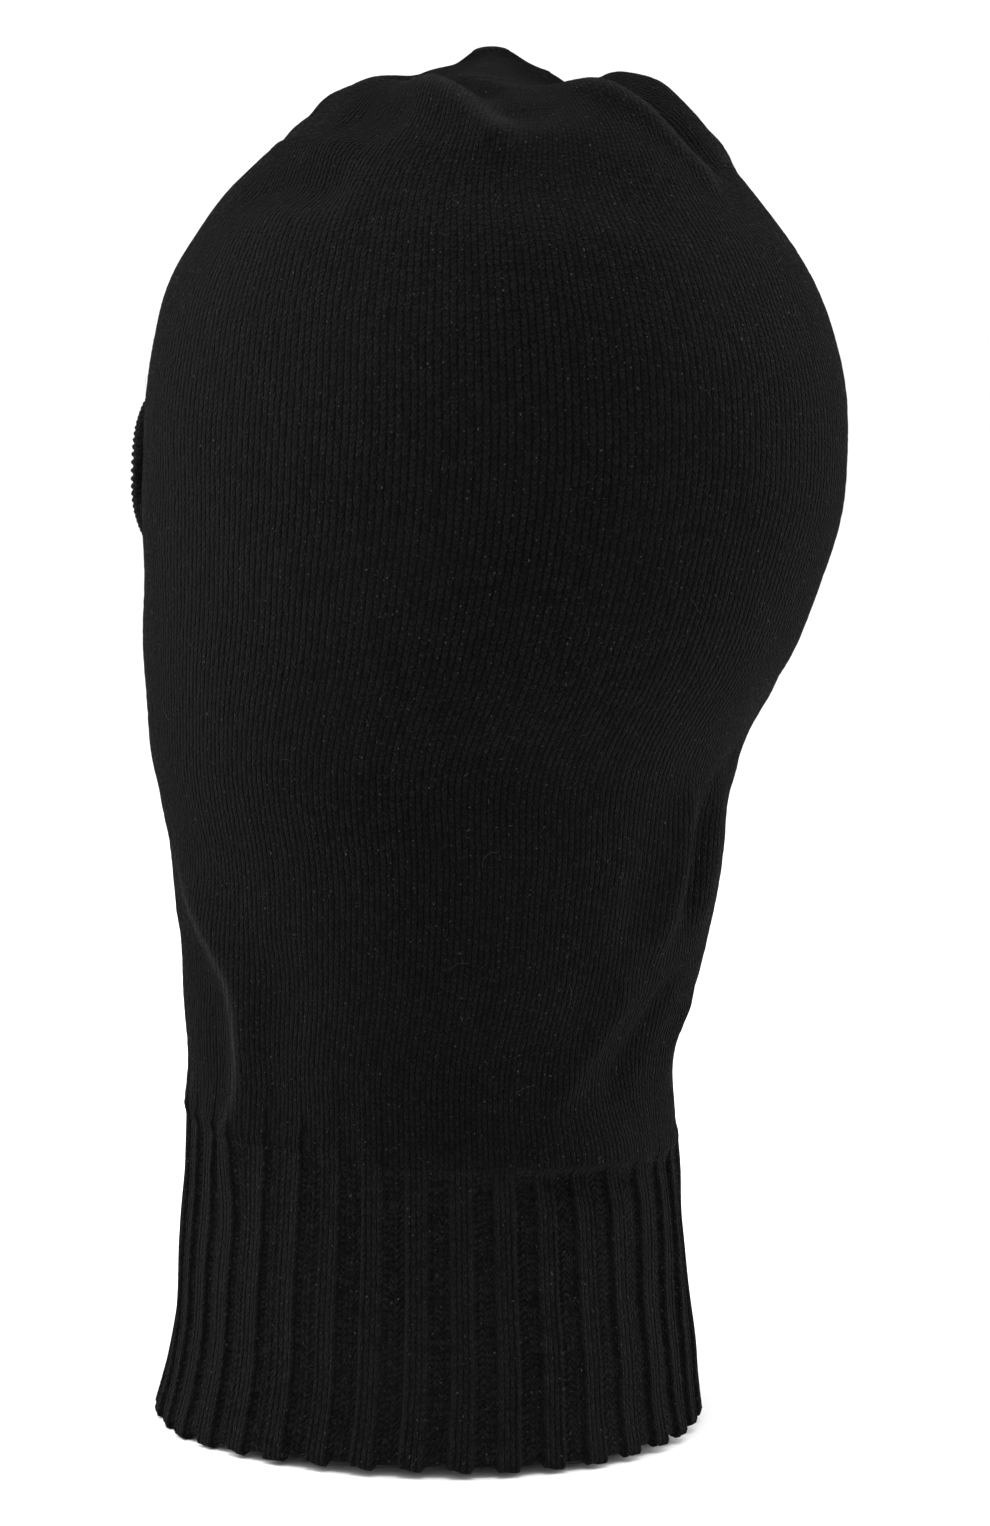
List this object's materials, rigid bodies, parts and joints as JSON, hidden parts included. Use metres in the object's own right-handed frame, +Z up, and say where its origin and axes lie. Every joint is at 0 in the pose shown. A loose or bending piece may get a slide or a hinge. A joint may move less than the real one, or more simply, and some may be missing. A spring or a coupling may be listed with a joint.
{
  "type": "balaclava",
  "caption": "Fine-knit pull-on balaclava with one oval eye opening, a four-gore crown gathered to a tip, and a long ribbed neck, as worn.",
  "frame": {"origin": "the middle of the head that wears it, at the head's widest girth", "axes": "+Z up out of the crown, face towards -Y, the wearer's left towards +X"},
  "size_m": [0.162, 0.2, 0.3654],
  "materials": {
    "jersey_knit": "black fine-gauge jersey knit in soft wool, matte with a light fuzz",
    "rib_knit": "black four-by-four rib knit in soft wool, matte",
    "trim_knit": "black one-by-one rib band folded over the edge, matte",
    "linking_yarn": "black plied yarn in linked loops",
    "woven_label": "blank woven damask ribbon, slight sheen",
    "satin_label": "blank off-white satin ribbon, folded",
    "sewing_thread": "black polyester thread"
  },
  "bodies": {
    "hood": {"neck_rib": "rib_knit", "jersey_hood": "jersey_knit", "crown_gore_front_left": "jersey_knit", "crown_gore_back_left": "jersey_knit", "crown_gore_back_right": "jersey_knit", "crown_gore_front_right": "jersey_knit", "crown_seam_front": "linking_yarn", "crown_seam_left": "linking_yarn", "crown_seam_back": "linking_yarn", "crown_seam_right": "linking_yarn", "crown_gather": "linking_yarn", "back_seam": "linking_yarn", "eye_trim": "trim_knit", "eye_trim_seam": "linking_yarn", "brand_label": "woven_label", "brand_label_thread_left": "sewing_thread", "brand_label_thread_right": "sewing_thread", "care_label_thread": "sewing_thread"},
    "care_label": {"care_label": "satin_label"}
  },
  "joints": [
    {"name": "care_label_fold", "type": "hinge", "parent": "hood", "child": "care_label", "pos_m": [0, 0.0518, -0.1285], "axis": [-1, 0, 0], "range_deg": [0, 120]}
  ]
}
